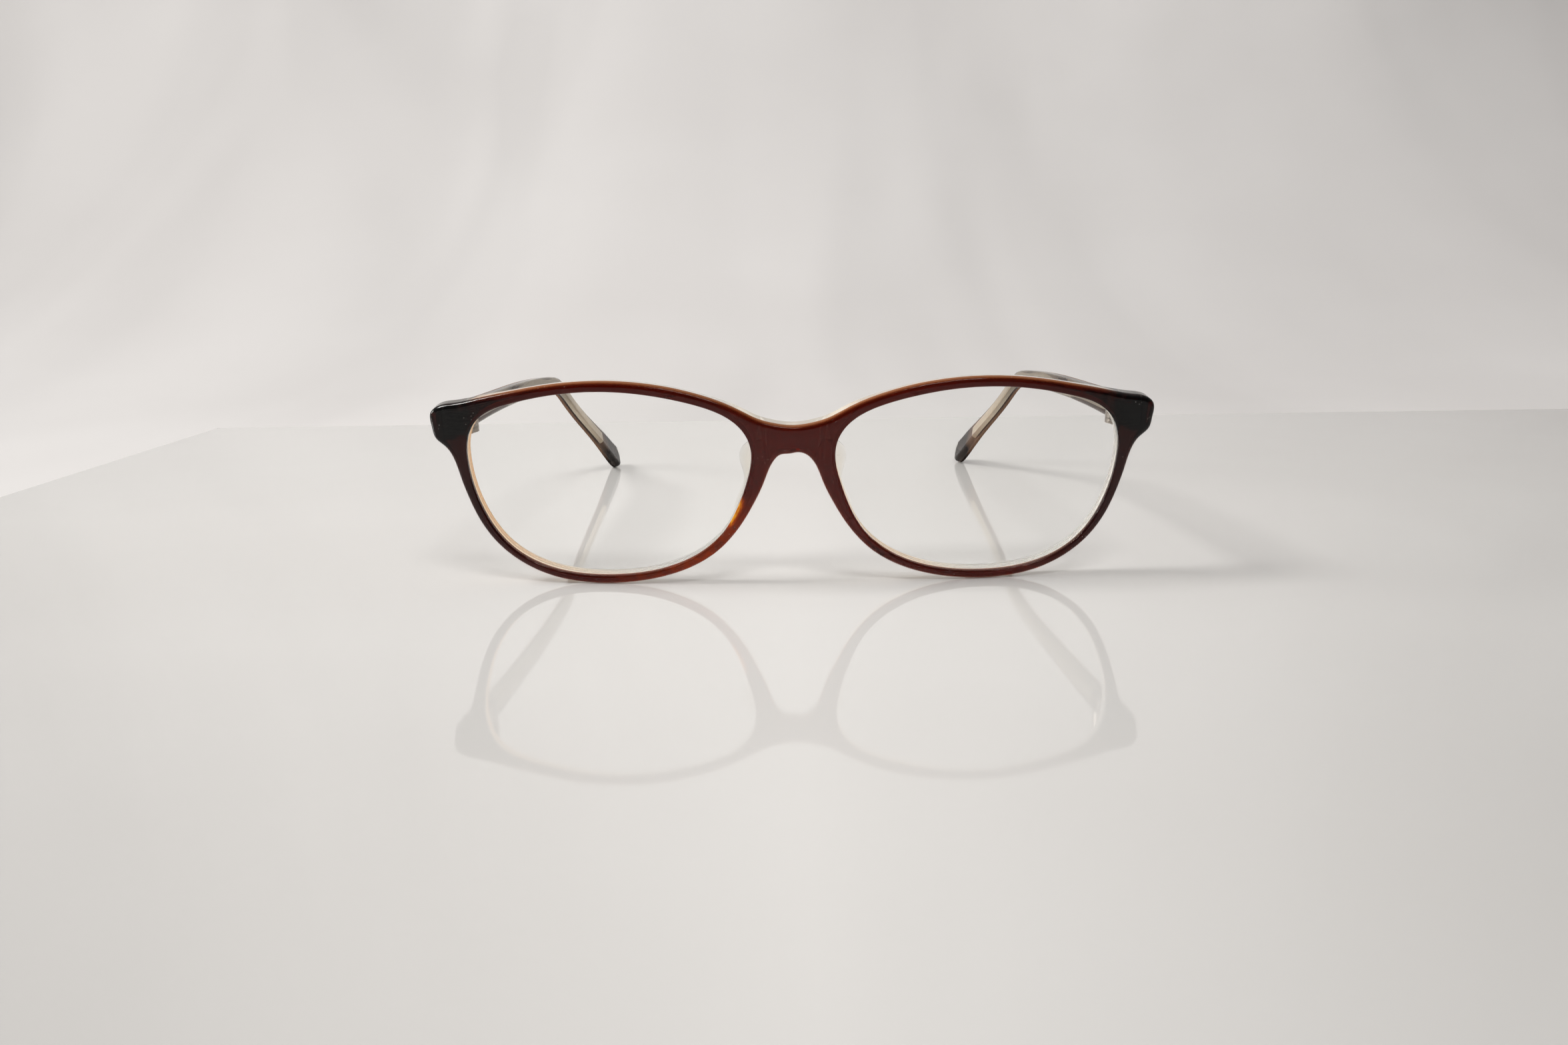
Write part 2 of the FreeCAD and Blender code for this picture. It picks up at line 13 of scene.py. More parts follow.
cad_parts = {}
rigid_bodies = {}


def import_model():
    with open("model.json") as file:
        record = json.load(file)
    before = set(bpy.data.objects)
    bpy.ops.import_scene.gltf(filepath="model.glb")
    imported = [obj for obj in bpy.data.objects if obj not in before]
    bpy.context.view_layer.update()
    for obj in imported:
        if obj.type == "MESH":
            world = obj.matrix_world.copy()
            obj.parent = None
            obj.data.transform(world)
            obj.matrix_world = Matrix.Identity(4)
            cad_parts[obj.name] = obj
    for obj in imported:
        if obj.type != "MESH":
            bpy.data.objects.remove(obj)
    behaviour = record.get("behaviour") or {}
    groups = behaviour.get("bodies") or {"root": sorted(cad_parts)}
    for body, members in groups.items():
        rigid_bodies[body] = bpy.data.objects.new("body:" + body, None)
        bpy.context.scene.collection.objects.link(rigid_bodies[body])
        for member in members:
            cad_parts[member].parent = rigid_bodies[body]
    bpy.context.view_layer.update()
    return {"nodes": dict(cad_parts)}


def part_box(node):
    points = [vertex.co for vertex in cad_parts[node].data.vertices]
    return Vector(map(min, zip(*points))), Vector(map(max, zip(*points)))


for old in list(bpy.data.objects):
    bpy.data.objects.remove(old)

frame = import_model()
nodes = frame["nodes"]
MM = 0.001

LEAN = math.radians(8)
DEPTH = Vector((0, math.cos(LEAN), math.sin(LEAN)))  # through the thickness of the front


# ------------------------------------------------------------------ node helpers
class Shader:
    """A node tree with short ways to add nodes. An input is a value or another node's socket."""

    def __init__(self, tree):
        self.tree = tree

    def add(self, kind, inputs=None, **settings):
        node = self.tree.nodes.new("ShaderNode" + kind)
        for key, value in settings.items():
            setattr(node, key, value)
        for key, value in (inputs or {}).items():
            if isinstance(value, bpy.types.NodeSocket):
                self.tree.links.new(value, node.inputs[key])
            else:
                node.inputs[key].default_value = value
        return node

    def out(self, kind, inputs=None, **settings):
        """Add a node and return its first output."""
        return self.add(kind, inputs, **settings).outputs[0]

    def calc(self, operation, first, *others):
        for other in others:
            first = self.out("Math", {0: first, 1: other}, operation=operation)
        return first

    def plus(self, *values):
        return self.calc("ADD", *values)

    def minus(self, *values):
        return self.calc("SUBTRACT", *values)

    def times(self, *values):
        return self.calc("MULTIPLY", *values)

    def size(self, value):
        return self.out("Math", {0: value}, operation="ABSOLUTE")

    def remap(self, value, over, to):
        return self.out("MapRange", {"Value": value, "From Min": over[0], "From Max": over[1],
                                     "To Min": to[0], "To Max": to[1]})

    def ramp(self, value, stops):
        """Colour ramp; stops are (position, (red, green, blue))."""
        node = self.add("ValToRGB", {"Fac": value})
        elements = node.color_ramp.elements
        while len(elements) > 1:
            elements.remove(elements[-1])
        elements[0].position = stops[0][0]
        elements[0].color = (*stops[0][1], 1)
        for position, colour in stops[1:]:
            elements.new(position).color = (*colour, 1)
        return node.outputs["Color"]

    def attribute(self, name):
        return self.add("Attribute", attribute_name=name).outputs["Fac"]

    def coords(self, kind="Object"):
        return self.add("TexCoord").outputs[kind]

    def mapped(self, **inputs):
        return self.out("Mapping", {"Vector": self.coords(), **inputs})

    def split(self, vector):
        return list(self.add("SeparateXYZ", {0: vector}).outputs)

    def grey(self, value):
        return self.out("CombineColor", {0: value, 1: value, 2: value})

    def noise(self, vector, scale, detail=4.0, rough=0.55, distortion=0.0):
        return self.add("TexNoise", {"Vector": vector, "Scale": scale, "Detail": detail,
                                     "Roughness": rough, "Distortion": distortion}).outputs["Fac"]

    def bump(self, height, strength, distance):
        return self.out("Bump", {"Height": height, "Strength": strength, "Distance": distance})

    def mix(self, share, first, second):
        return self.out("MixShader", {0: share, 1: first, 2: second})

    def mix_colour(self, share, first, second, blend="MIX"):
        # sockets 6 and 7 are the two colours, output 2 the mixed colour
        node = self.add("Mix", data_type="RGBA", blend_type=blend)
        for index, value in ((0, share), (6, first), (7, second)):
            if isinstance(value, bpy.types.NodeSocket):
                self.tree.links.new(value, node.inputs[index])
            else:
                node.inputs[index].default_value = value
        return node.outputs[2]

    def multiply(self, first, second):
        return self.mix_colour(1.0, first, second, blend="MULTIPLY")

    def finish(self, surface, **volume):
        self.add("OutputMaterial", {"Surface": surface, **volume})


def new_material(name):
    material = bpy.data.materials.new(name)
    material.use_nodes = True
    material.node_tree.nodes.clear()
    return material, Shader(material.node_tree)


def grey(value):
    return (value, value, value)


def scratches(s, scale, width, seed):
    """Fine straight hairlines in three directions: 1 on a line, 0 elsewhere."""
    stretch = 0.05  # cell density along a line against across it
    total = None
    for k, (turn, density) in enumerate(((0.3, 1.0), (1.35, 0.8), (2.4, 1.2))):
        along = scale * density * stretch
        place = s.mapped(Rotation=(turn * 0.7, turn * 1.3, turn),
                         Location=(seed + k * 0.37, k * 0.61, seed * 0.5),
                         Scale=(scale * density, along, along))
        edge = s.out("TexVoronoi", {"Vector": place, "Scale": 1.0}, feature="DISTANCE_TO_EDGE")
        line = s.remap(edge, over=(0.0, width), to=(1.0, 0.0))
        total = line if total is None else s.calc("MAXIMUM", total, line)
    return total


def dust(s, seed):
    """Sparse tiny specks: 1 on a speck."""
    scale = 1500.0
    radius = 0.13  # of a cell
    cutoff = 0.60  # noise level above which specks show
    place = s.mapped(Location=(seed, seed * 2.1, seed * 0.7))
    distance = s.out("TexVoronoi", {"Vector": place, "Scale": scale})
    spot = s.remap(distance, over=(radius, radius * 0.5), to=(0.0, 1.0))
    patches = s.noise(place, scale=scale * 0.21, detail=1.0)
    return s.times(spot, s.calc("GREATER_THAN", patches, cutoff))


# ------------------------------------------------------------------ acetate
# painted light: cut walls and lens edges glow by emission, standing for light piped through the
# laminate
PAINTED_WALL_GLOW = 1.08  # emission strength of cut walls


def painted_top_edge_glow(s, x, z, normal):
    """Colour and share of the painted glow on the front's rounded edges where they face up:
    painted light standing for light that comes through them from above.
    """
    up = s.split(normal)[2]
    colour = s.ramp(up, [(0.0, (0, 0, 0)), (0.22, (0.04, 0.004, 0.001)),
                         (0.34, (0.08, 0.010, 0.002)), (0.49, (0.15, 0.024, 0.005)),
                         (0.64, (0.25, 0.065, 0.022)), (0.79, (0.42, 0.18, 0.085)),
                         (1.0, (0.48, 0.23, 0.125))])
    facing = s.remap(up, over=(0.12, 0.60), to=(0.0, 0.85))
    # fades towards the two ends, and low on the front
    middle = s.remap(s.size(x), over=(0.050, 0.060), to=(1.0, 0.0))
    high = s.remap(z, over=(0.018, 0.024), to=(0.12, 1.0))
    return colour, s.times(facing, s.times(middle, high))


def painted_side_edge_glow(s, y, cloud, normal):
    """Colour and share of the painted glow along a temple layer's narrow sides."""
    side = s.split(normal)[0]
    amber = s.ramp(cloud, [(0.90, (0.30, 0.175, 0.115)), (1.0, (0.38, 0.22, 0.145))])
    facing = s.remap(s.size(side), over=(0.90, 1.0), to=(0.9, 0.0))
    # past the end of the core the painted glow turns to a dark colour
    past_core = s.remap(y, over=(0.0560, 0.0625), to=(0.0, 1.0))
    colour = s.mix_colour(past_core, amber, (0.035, 0.022, 0.018, 1))
    share = s.calc("MAXIMUM", facing, s.attribute("bonded"))
    return colour, s.times(share, 1.0)


def painted_nasal_light(s, surface, place, x, z):
    """Painted light along the lower nasal curve at the left, standing for light gathered there: a
    dull red glow, then amber streaks, all emission.
    """
    centre_x, centre_z = 0.01135, 0.01420
    cosine, sine = 0.891, 0.453  # slant of the streaks
    across_density, along_density = 3400.0, 700.0
    from_x = s.minus(s.size(x), centre_x)
    from_z = s.minus(z, centre_z)
    across = s.plus(s.times(from_x, cosine), s.times(from_z, sine))
    along = s.minus(s.times(from_x, sine), s.times(from_z, cosine))
    grain = s.out("CombineXYZ", {0: s.times(across, across_density),
                                 1: s.times(along, along_density)})
    streak = s.noise(grain, scale=1.0, detail=3.0, rough=0.6, distortion=0.6)
    near = s.times(s.remap(s.size(across), over=(0.0002, 0.0017), to=(1.0, 0.0)),
                   s.remap(s.size(along), over=(0.0018, 0.0044), to=(1.0, 0.0)))
    heat = s.times(streak, near, s.remap(along, over=(-0.0040, 0.0040), to=(2.1, 1.5)))
    hot = s.ramp(heat, [(0.15, (0.16, 0.018, 0.004)), (0.45, (0.50, 0.075, 0.008)),
                        (0.85, (0.95, 0.42, 0.030))])
    painted_streak_glow = s.out("Emission", {"Color": hot, "Strength": 1.0})
    at_left = s.remap(x, over=(-0.004, 0.004), to=(1.0, 0.0))
    flame_share = s.times(near, at_left, s.remap(heat, over=(0.10, 0.40), to=(0.0, 0.95)))

    patches = s.noise(place, scale=420.0, detail=3.0, rough=0.6, distortion=1.0)
    ember_share = s.times(s.remap(x, over=(-0.038, -0.020), to=(0.0, 1.0)),
                          s.remap(x, over=(-0.010, -0.005), to=(1.0, 0.0)),
                          s.remap(z, over=(0.010, 0.019), to=(1.0, 0.0)),
                          s.remap(patches, over=(0.35, 0.65), to=(0.30, 0.85)))
    painted_red_glow = s.out("Emission", {"Color": (0.21, 0.032, 0.011, 1)})
    return s.mix(flame_share, s.mix(ember_share, surface, painted_red_glow), painted_streak_glow)


def acetate_relief(s, place, hair, cut):
    """Bump of orange peel, fine grain, hairlines and, on cut walls, mill marks."""
    peel_height, fine_height, hair_depth, mill_height = 1.0, 0.06, 0.06, 1.2
    peel = s.noise(place, scale=330.0, detail=2.0, rough=0.5)
    fine = s.noise(place, scale=2600.0, detail=2.0, rough=0.5)
    mill = s.noise(place, scale=5200.0, detail=2.0, rough=0.6)
    height = s.plus(s.times(peel, peel_height), s.times(fine, fine_height))
    height = s.minus(height, s.times(hair, hair_depth))
    height = s.plus(height, s.times(mill, cut, mill_height))
    return s.bump(height, strength=0.35, distance=0.00001)


def acetate(name, absorb, seed, ior=1.485, wear=1.0, dark_ends=1.0, edge=None, gloss=0.5, arm=1.0):
    """Polished cellulose acetate.

    absorb: optical depth of a millimetre for red, green and blue.
    dark_ends: how much light still passes far out in x, where the colour is darker.
    edge: where a painted glow is put on thin rounded edges, "top" where they face up, "side" along
    the narrow sides.
    arm: how much light still passes along the straight arm, at low y.
    """
    hair_rough = 0.03 * wear
    wall_rough = 0.30
    dust_share = 0.45 * wear
    seam_clear = 0.12  # share of a "side" layer's bonded face that stays see-through

    material, s = new_material(name)
    place = s.mapped()
    coords = s.add("TexCoord").outputs
    x, y, z = s.split(coords["Object"])

    # darker far out in x, with soft clouds in it
    ends = s.remap(s.size(x), over=(0.040, 0.060), to=(1.0, dark_ends))
    clouds = s.noise(place, scale=55.0, detail=3.0, rough=0.5, distortion=0.8)
    cloud = s.remap(clouds, over=(0.35, 0.65), to=(0.90, 1.0))
    sheet = s.times(ends, cloud)
    if arm < 1.0:
        sheet = s.times(sheet, s.remap(y, over=(0.028, 0.042), to=(arm, 1.0)))

    # cut walls are pale, matt and carry a painted glow, from cream to amber as "warm" rises
    cut = s.attribute("wall")
    warm = s.attribute("warm")
    glow = s.ramp(warm, [(0.0, (0.93, 0.90, 0.84)), (0.5, (0.93, 0.84, 0.72)),
                         (1.0, (0.88, 0.66, 0.45))])
    smudge = s.noise(place, scale=240.0, detail=5.0, rough=0.6, distortion=0.6)
    hair = scratches(s, scale=300.0, width=0.006, seed=seed)
    rough = s.plus(s.remap(smudge, over=(0.45, 0.75), to=(0.012, 0.050 * wear)),
                   s.times(hair, hair_rough), s.times(cut, wall_rough))
    polished = s.out("BsdfPrincipled", {
        "Transmission Weight": 1.0,
        "IOR": ior,
        "Specular IOR Level": gloss,
        "Base Color": s.mix_colour(cut, s.grey(sheet), glow),
        "Roughness": rough,
        "Normal": acetate_relief(s, place, hair, cut)})
    # painted light: an emission glow on the cut walls stands for light piped along the laminate
    # leaves
    matt = s.mix(0.5, s.out("Emission", {"Color": glow, "Strength": PAINTED_WALL_GLOW}),
                 s.out("BsdfDiffuse", {"Color": glow}))
    matt_share = s.times(cut, s.remap(warm, over=(0.0, 0.6), to=(0.35, 0.85)))
    surface = s.mix(matt_share, polished, matt)

    if edge:
        if edge == "top":
            colour, share = painted_top_edge_glow(s, x, z, coords["Normal"])
        else:
            colour, share = painted_side_edge_glow(s, y, cloud, coords["Normal"])
        # painted light on thin rounded edges, as diffuse and translucent colour
        painted_edge_light = s.mix(0.35, s.out("BsdfDiffuse", {"Color": colour}),
                         s.out("BsdfTranslucent", {"Color": colour}))
        surface = s.mix(share, surface, painted_edge_light)
    if edge == "top":
        surface = painted_nasal_light(s, surface, place, x, z)

    lint = s.out("BsdfDiffuse", {"Color": (0.75, 0.70, 0.64, 1)})
    surface = s.mix(s.times(dust(s, seed), dust_share), surface, lint)

    # a bonded face has no air behind it, so nothing bends or reflects there
    bonded = s.attribute("bonded")
    if edge == "side":
        bonded = s.times(bonded, seam_clear)
    surface = s.mix(bonded, surface, s.out("BsdfTransparent"))

    density = max(absorb) / MM * 1.05  # just above the strongest, so no colour falls to 0
    tint = (*[1 - depth / MM / density for depth in absorb], 1)
    s.finish(surface, Volume=s.out("VolumeAbsorption", {"Density": density, "Color": tint}))
    return material


# ------------------------------------------------------------------ lenses and metal
def lens_material():
    """Hard-coated resin; the matt ground edge and bevel carry a painted glow in the colour of the
    rim.
    """
    wall_rough = 0.5
    material, s = new_material("lens_resin")
    place = s.mapped()
    cut = s.attribute("wall")
    warm = s.attribute("warm")
    smudge = s.noise(place, scale=60.0, detail=4.0, rough=0.6, distortion=0.8)
    rough = s.plus(s.remap(smudge, over=(0.55, 0.8), to=(0.0, 0.012)), s.times(cut, wall_rough))
    clear = s.out("BsdfPrincipled", {
        "Base Color": (0.995, 1.0, 0.997, 1),
        "Transmission Weight": 1.0,
        "IOR": 1.10,
        "Roughness": rough})
    grain = s.noise(place, scale=3000.0, detail=2.0, rough=0.6)
    glow = s.ramp(warm, [(0.0, (0.90, 0.87, 0.82)), (0.45, (0.90, 0.79, 0.66)),
                         (1.0, (0.86, 0.58, 0.36))])
    shade = s.multiply(glow, s.ramp(grain, [(0.35, grey(0.82)), (0.65, grey(1.0))]))
    # painted light: the edge glows by emission and diffuse colour in the rim's colour
    matt = s.mix(0.5, s.out("BsdfDiffuse", {"Color": shade}),
                 s.out("Emission", {"Color": shade, "Strength": PAINTED_WALL_GLOW}))
    matt_share = s.times(cut, s.remap(warm, over=(0.0, 0.5), to=(0.45, 0.85)))
    s.finish(s.mix(matt_share, clear, matt))
    return material


def metal(name, colour, rough, brush, seed, dull=0.78):
    """Brushed metal. brush is the grain density along x, y, z; dull scales the darkest patches."""
    bright = 1.06
    scratch_height = -0.4
    material, s = new_material(name)
    patches = s.noise(s.mapped(), scale=900.0, detail=4.0, rough=0.6)
    tone = s.ramp(patches, [(0.30, tuple(c * dull for c in colour)), (0.55, colour),
                            (0.80, tuple(min(1, c * bright) for c in colour))])
    grain = s.noise(s.mapped(Scale=brush), scale=1.0, detail=3.0, rough=0.6)
    lines = scratches(s, scale=900.0, width=0.02, seed=seed)
    height = s.plus(grain, s.times(lines, scratch_height))
    s.finish(s.out("BsdfPrincipled", {
        "Metallic": 1.0,
        "Base Color": tone,
        "Roughness": s.remap(grain, over=(0.3, 0.7), to=(rough * 0.7, rough * 1.4)),
        "Normal": s.bump(height, strength=0.4, distance=0.000012)}))
    return material


# optical depth per millimetre for red, green and blue
BROWN = (2.4, 5.2, 7.5)
CLEAR = (0.012, 0.022, 0.040)

brown_front = acetate("brown_acetate_front", BROWN, seed=0.2, ior=1.36, dark_ends=0.12,
                      edge="top", gloss=0.35)
brown_temple = acetate("brown_acetate_temple", BROWN, seed=0.5, ior=1.25, dark_ends=0.5,
                       edge="side")
clear_front = acetate("clear_acetate_laminate", CLEAR, seed=0.9, wear=0.8)
clear_temple = acetate("clear_acetate_temple", CLEAR, seed=0.7, ior=1.20, wear=1.2, arm=0.48)
clear_pad = acetate("clear_pad_acetate", CLEAR, seed=1.7, ior=1.035)
lens_resin = lens_material()
hinge_metal = metal("hinge_nickel_silver", colour=(0.42, 0.38, 0.34), rough=0.30,
                    brush=(300, 300, 6000), seed=0.3)
screw_metal = metal("screw_plated_steel", colour=(0.78, 0.76, 0.73), rough=0.16,
                    brush=(4000, 500, 4000), seed=0.8)
core_metal = metal("core_nickel_silver", colour=(0.93, 0.83, 0.68), rough=0.42,
                   brush=(2500, 120, 2500), seed=1.4, dull=0.94)

# start of a piece's name -> its material
PIECE_MATERIALS = {
    "front_colour_layer": brown_front,
    "front_clear_layer": clear_front,
    "lens_": lens_resin,
    "nose_pad_": clear_pad,
    "front_hinge_leaf_": hinge_metal,
    "temple_hinge_leaf_": hinge_metal,
    "hinge_screw_": screw_metal,
    "temple_colour_layer_": brown_temple,
    "temple_clear_layer_": clear_temple,
    "temple_core_wire_": core_metal,
}
for name, piece in nodes.items():
    for start, material in PIECE_MATERIALS.items():
        if name.startswith(start):
            piece.data.materials.clear()
            piece.data.materials.append(material)


# ------------------------------------------------------------------ bonded faces
BOND_REACH = 0.00006  # farthest gap that still counts as bonded
trees = {name: BVHTree.FromPolygons([v.co for v in piece.data.vertices],
                                    [face.vertices[:] for face in piece.data.polygons])
         for name, piece in nodes.items()}


def set_face_values(mesh, name, values):
    mesh.attributes.new(name, "FLOAT", "FACE").data.foreach_set("value", values)


def is_bonded(face, others):
    """Whether a face lies against one of the other pieces, facing it."""
    for other in others:
        spot, normal, _, _ = trees[other].find_nearest(face.center, BOND_REACH)
        if spot is not None and normal.dot(face.normal) < -0.5:
            return True
    return False


def mark_bonded(name, others):
    """Mark the faces that light passes as it does inside one solid."""
    mesh = nodes[name].data
    set_face_values(mesh, "bonded", [float(is_bonded(face, others)) for face in mesh.polygons])


for side in ("left", "right"):
    mark_bonded("temple_colour_layer_" + side, ["temple_clear_layer_" + side])
    mark_bonded("temple_clear_layer_" + side, [
        "temple_colour_layer_" + side, "temple_core_wire_" + side, "temple_hinge_leaf_" + side])
    mark_bonded("nose_pad_" + side, ["front_clear_layer"])
mark_bonded("front_colour_layer", ["front_clear_layer"])
mark_bonded("front_clear_layer", ["front_colour_layer", "nose_pad_left", "nose_pad_right",
                                  "front_hinge_leaf_left", "front_hinge_leaf_right"])

# ------------------------------------------------------------------ cut walls
# The outside is tumbled and polished; the walls of the eye openings and the lens edges are matt.
# The "wall" and "warm" marks also place the painted glow on these walls and on the saddle.
EYE_HALF_WIDTH = 0.0285
EYE_MIN_RADIUS = 0.004
LENS_TURN = math.radians(4.9)  # each lens axis turns out of the y-z plane by this
SADDLE_HALF_WIDTH = 0.0125
SADDLE_FADE = 0.003
SADDLE_BOTTOM = 0.026
SADDLE_MATT = 0.75
SADDLE_WARM = 0.40


def painted_warmth(x):
    """How much painted amber light a cut wall gets, standing for light through the brown sheet
    that comes from low x.
    """
    if x < 0:
        start, span = 0.024, 0.034
        return max(0.0, min(1.0, (-x - start) / span))
    end, span, least, most = 0.036, 0.022, 0.06, 0.62
    return max(least, min(most, (end - x) / span))


def square_to(axis, vector):
    """The part of a vector that lies square to the axis."""
    return vector - axis * vector.dot(axis)


def with_flanks(mesh, flags):
    """Also mark the flanks of a groove or bevel: all their corners lie on marked faces."""
    key = [tuple(round(c * 1e6) for c in v.co) for v in mesh.vertices]
    known = {key[i] for face, flag in zip(mesh.polygons, flags) if flag for i in face.vertices}
    return [1.0 if flag or all(key[i] in known for i in face.vertices) else 0.0
            for face, flag in zip(mesh.polygons, flags)]


def is_eye_wall(face, lens_middle):
    side = 1 if face.center.x > 0 else -1
    eye = Vector((side * lens_middle.x, lens_middle.y, lens_middle.z))
    inward = square_to(DEPTH, eye - face.center)
    return (abs(inward.x) < EYE_HALF_WIDTH and inward.length > EYE_MIN_RADIUS
            and abs(face.normal.dot(DEPTH)) < 0.85
            and face.normal.dot(inward) > 0.15 * inward.length)


def is_lens_edge(face, middle, axis):
    outward = square_to(axis, face.center - middle)
    return (abs(face.normal.dot(axis)) < 0.90
            and face.normal.dot(outward) > 0.3 * outward.length)


def box_middle(name):
    low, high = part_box(name)
    return (low + high) / 2


def mark_front_walls():
    mesh = nodes["front_clear_layer"].data
    middle = box_middle("lens_left")
    wall = with_flanks(mesh, [is_eye_wall(face, middle) for face in mesh.polygons])
    warm = [painted_warmth(face.center.x) for face in mesh.polygons]
    # the saddle over the bridge is matt too and carries the painted glow, fading out at its sides
    for i, face in enumerate(mesh.polygons):
        inside = SADDLE_HALF_WIDTH - abs(face.center.x)
        if (face.normal.z > 0.6 and face.center.z > SADDLE_BOTTOM
                and abs(face.center.x) < SADDLE_HALF_WIDTH):
            wall[i] = max(wall[i], SADDLE_MATT * min(1.0, inside / SADDLE_FADE))
            warm[i] = SADDLE_WARM
    set_face_values(mesh, "wall", wall)
    set_face_values(mesh, "warm", warm)


def mark_lens_edges(name):
    mesh = nodes[name].data
    middle = box_middle(name)
    turn = math.copysign(math.sin(LENS_TURN), middle.x)
    axis = Vector((turn, -DEPTH.y, -DEPTH.z)).normalized()
    wall = with_flanks(mesh, [is_lens_edge(face, middle, axis) for face in mesh.polygons])
    set_face_values(mesh, "wall", wall)
    set_face_values(mesh, "warm", [painted_warmth(face.center.x) for face in mesh.polygons])


mark_front_walls()
for name in ("lens_left", "lens_right"):
    mark_lens_edges(name)


# ------------------------------------------------------------------ stage
# A glossy pale sheet lies on a cloth that rises behind it.
SHEET_LEFT, SHEET_RIGHT = -0.212, 1.6
SHEET_NEAR, SHEET_BACK = -1.4, 0.165
SHEET_THICK = 0.0012

CLOTH_HALF_WIDTH = 2.6
CLOTH_COLUMNS = 64
CLOTH_FLAT_Y = (-1.6, -0.8, -0.4, -0.2, 0.0, 0.1, 0.2, 0.24)
SWEEP_RADIUS = 0.50
SWEEP_STEPS = 16
SWEEP_PART = 0.93  # of a quarter turn
RISE_SLOPE = (0.11, 1.0)  # y and z per unit of the straight rise
RISE_ROWS = (0.5, 1.0, 1.7)
FOLD_RISE = 0.25  # height at which the folds reach full depth
# depth, waves along x, waves along z, phase
FOLDS = ((0.020, 7.0, 1.3, 0.6), (0.012, 15.0, -4.0, 0.0), (0.008, 31, 9, 0.0))


def mesh_object(name, points, faces, smooth):
    mesh = bpy.data.meshes.new(name)
    mesh.from_pydata(points, [], faces)
    mesh.update()
    if smooth:
        for face in mesh.polygons:
            face.use_smooth = True
    thing = bpy.data.objects.new(name, mesh)
    bpy.context.scene.collection.objects.link(thing)
    return thing


def make_floor():
    """The sheet's top with its left and far edges; the other edges are left open."""
    corners = [(SHEET_LEFT, SHEET_NEAR), (SHEET_RIGHT, SHEET_NEAR),
               (SHEET_RIGHT, SHEET_BACK), (SHEET_LEFT, SHEET_BACK)]
    points = [(x, y, z) for z in (0, -SHEET_THICK) for x, y in corners]
    return mesh_object("floor", points, [(0, 1, 2, 3), (0, 3, 7, 4), (3, 2, 6, 7)], smooth=False)


def cloth_profile():
    """(y, z) rows of the cloth: flat, swept up, then straight."""
    rows = [(y, -SHEET_THICK) for y in CLOTH_FLAT_Y]
    for k in range(1, SWEEP_STEPS + 1):
        angle = math.pi / 2 * SWEEP_PART * k / SWEEP_STEPS
        rows.append((CLOTH_FLAT_Y[-1] + SWEEP_RADIUS * math.sin(angle),
                     SWEEP_RADIUS - SHEET_THICK - SWEEP_RADIUS * math.cos(angle)))
    y, z = rows[-1]
    return rows + [(y + RISE_SLOPE[0] * t, z + RISE_SLOPE[1] * t) for t in RISE_ROWS]


def make_backdrop():
    rows = cloth_profile()
    points = []
    for y, z in rows:
        rise = max(0.0, min(1.0, z / FOLD_RISE))
        for j in range(CLOTH_COLUMNS + 1):
            x = -CLOTH_HALF_WIDTH + 2 * CLOTH_HALF_WIDTH * j / CLOTH_COLUMNS
            fold = sum(depth * math.sin(along_x * x + along_z * z + phase)
                       for depth, along_x, along_z, phase in FOLDS)
            points.append((x, y + fold * rise, z))
    stride = CLOTH_COLUMNS + 1
    faces = []
    for i in range(len(rows) - 1):
        for j in range(CLOTH_COLUMNS):
            q = i * stride + j
            faces.append((q, q + 1, q + stride + 1, q + stride))
    return mesh_object("backdrop", points, faces, smooth=True)


def floor_material():
    brightness, darkest = 0.95, 0.55
    # painted shade: the sheet is darkened towards the sides, the near edge and most at the near
    # corners
    side_limit, side_fall = 0.30, 0.8  # greying towards the sides
    near_start, near_fall = 0.10, 1.1  # greying towards the near edge
    corner_fall = 7.0
    material, s = new_material("floor_gloss")
    place = s.mapped()
    tone = s.ramp(s.noise(place, scale=5.0, detail=3.0),
                  [(0.3, (0.785, 0.768, 0.745)), (0.7, (0.815, 0.802, 0.782))])
    x, y, _ = s.split(s.coords())
    aside = s.calc("MINIMUM", s.size(x), side_limit)
    near = s.calc("MAXIMUM", s.times(y, -1.0), 0.0)
    shade = s.minus(brightness, s.times(aside, side_fall))
    past_start = s.calc("MAXIMUM", s.minus(near, near_start), 0.0)
    shade = s.minus(shade, s.times(past_start, near_fall))
    shade = s.minus(shade, s.times(aside, near, corner_fall))
    shade = s.calc("MAXIMUM", shade, darkest)
    smears = s.noise(place, scale=30.0, detail=3.0)
    waves = s.noise(place, scale=14.0, detail=3.0)
    s.finish(s.out("BsdfPrincipled", {
        "Base Color": s.multiply(tone, s.grey(shade)),
        "Roughness": s.remap(smears, over=(0.3, 0.7), to=(0.035, 0.06)),
        "Normal": s.bump(waves, strength=0.25, distance=0.0002),
        "IOR": 1.45}))
    return material


def cloth_material():
    material, s = new_material("backdrop_cloth")
    tone = s.ramp(s.noise(s.mapped(), scale=2.6, detail=3.0),
                  [(0.3, (0.71, 0.688, 0.675)), (0.7, (0.78, 0.762, 0.750))])
    x = s.split(s.coords())[0]
    # painted shade: darkest at the left
    side = s.ramp(s.remap(x, over=(-0.60, 0.40), to=(0.0, 1.0)),
                  [(0.0, grey(0.66)), (0.06, grey(0.68)), (0.32, grey(0.87)),
                   (0.60, grey(1.0)), (0.88, grey(0.93)), (1.0, grey(0.97))])
    slanted = s.mapped(Scale=(6.0, 1.0, 2.2), Rotation=(0, 0.45, 0))
    drape = s.ramp(s.noise(slanted, scale=1.0, detail=2.0, rough=0.5, distortion=0.8),
                   [(0.32, grey(0.925)), (0.5, grey(1.0)), (0.68, grey(1.045))])
    s.finish(s.out("BsdfPrincipled", {
        "Base Color": s.multiply(s.multiply(tone, side), drape),
        "Roughness": 0.9}))
    return material


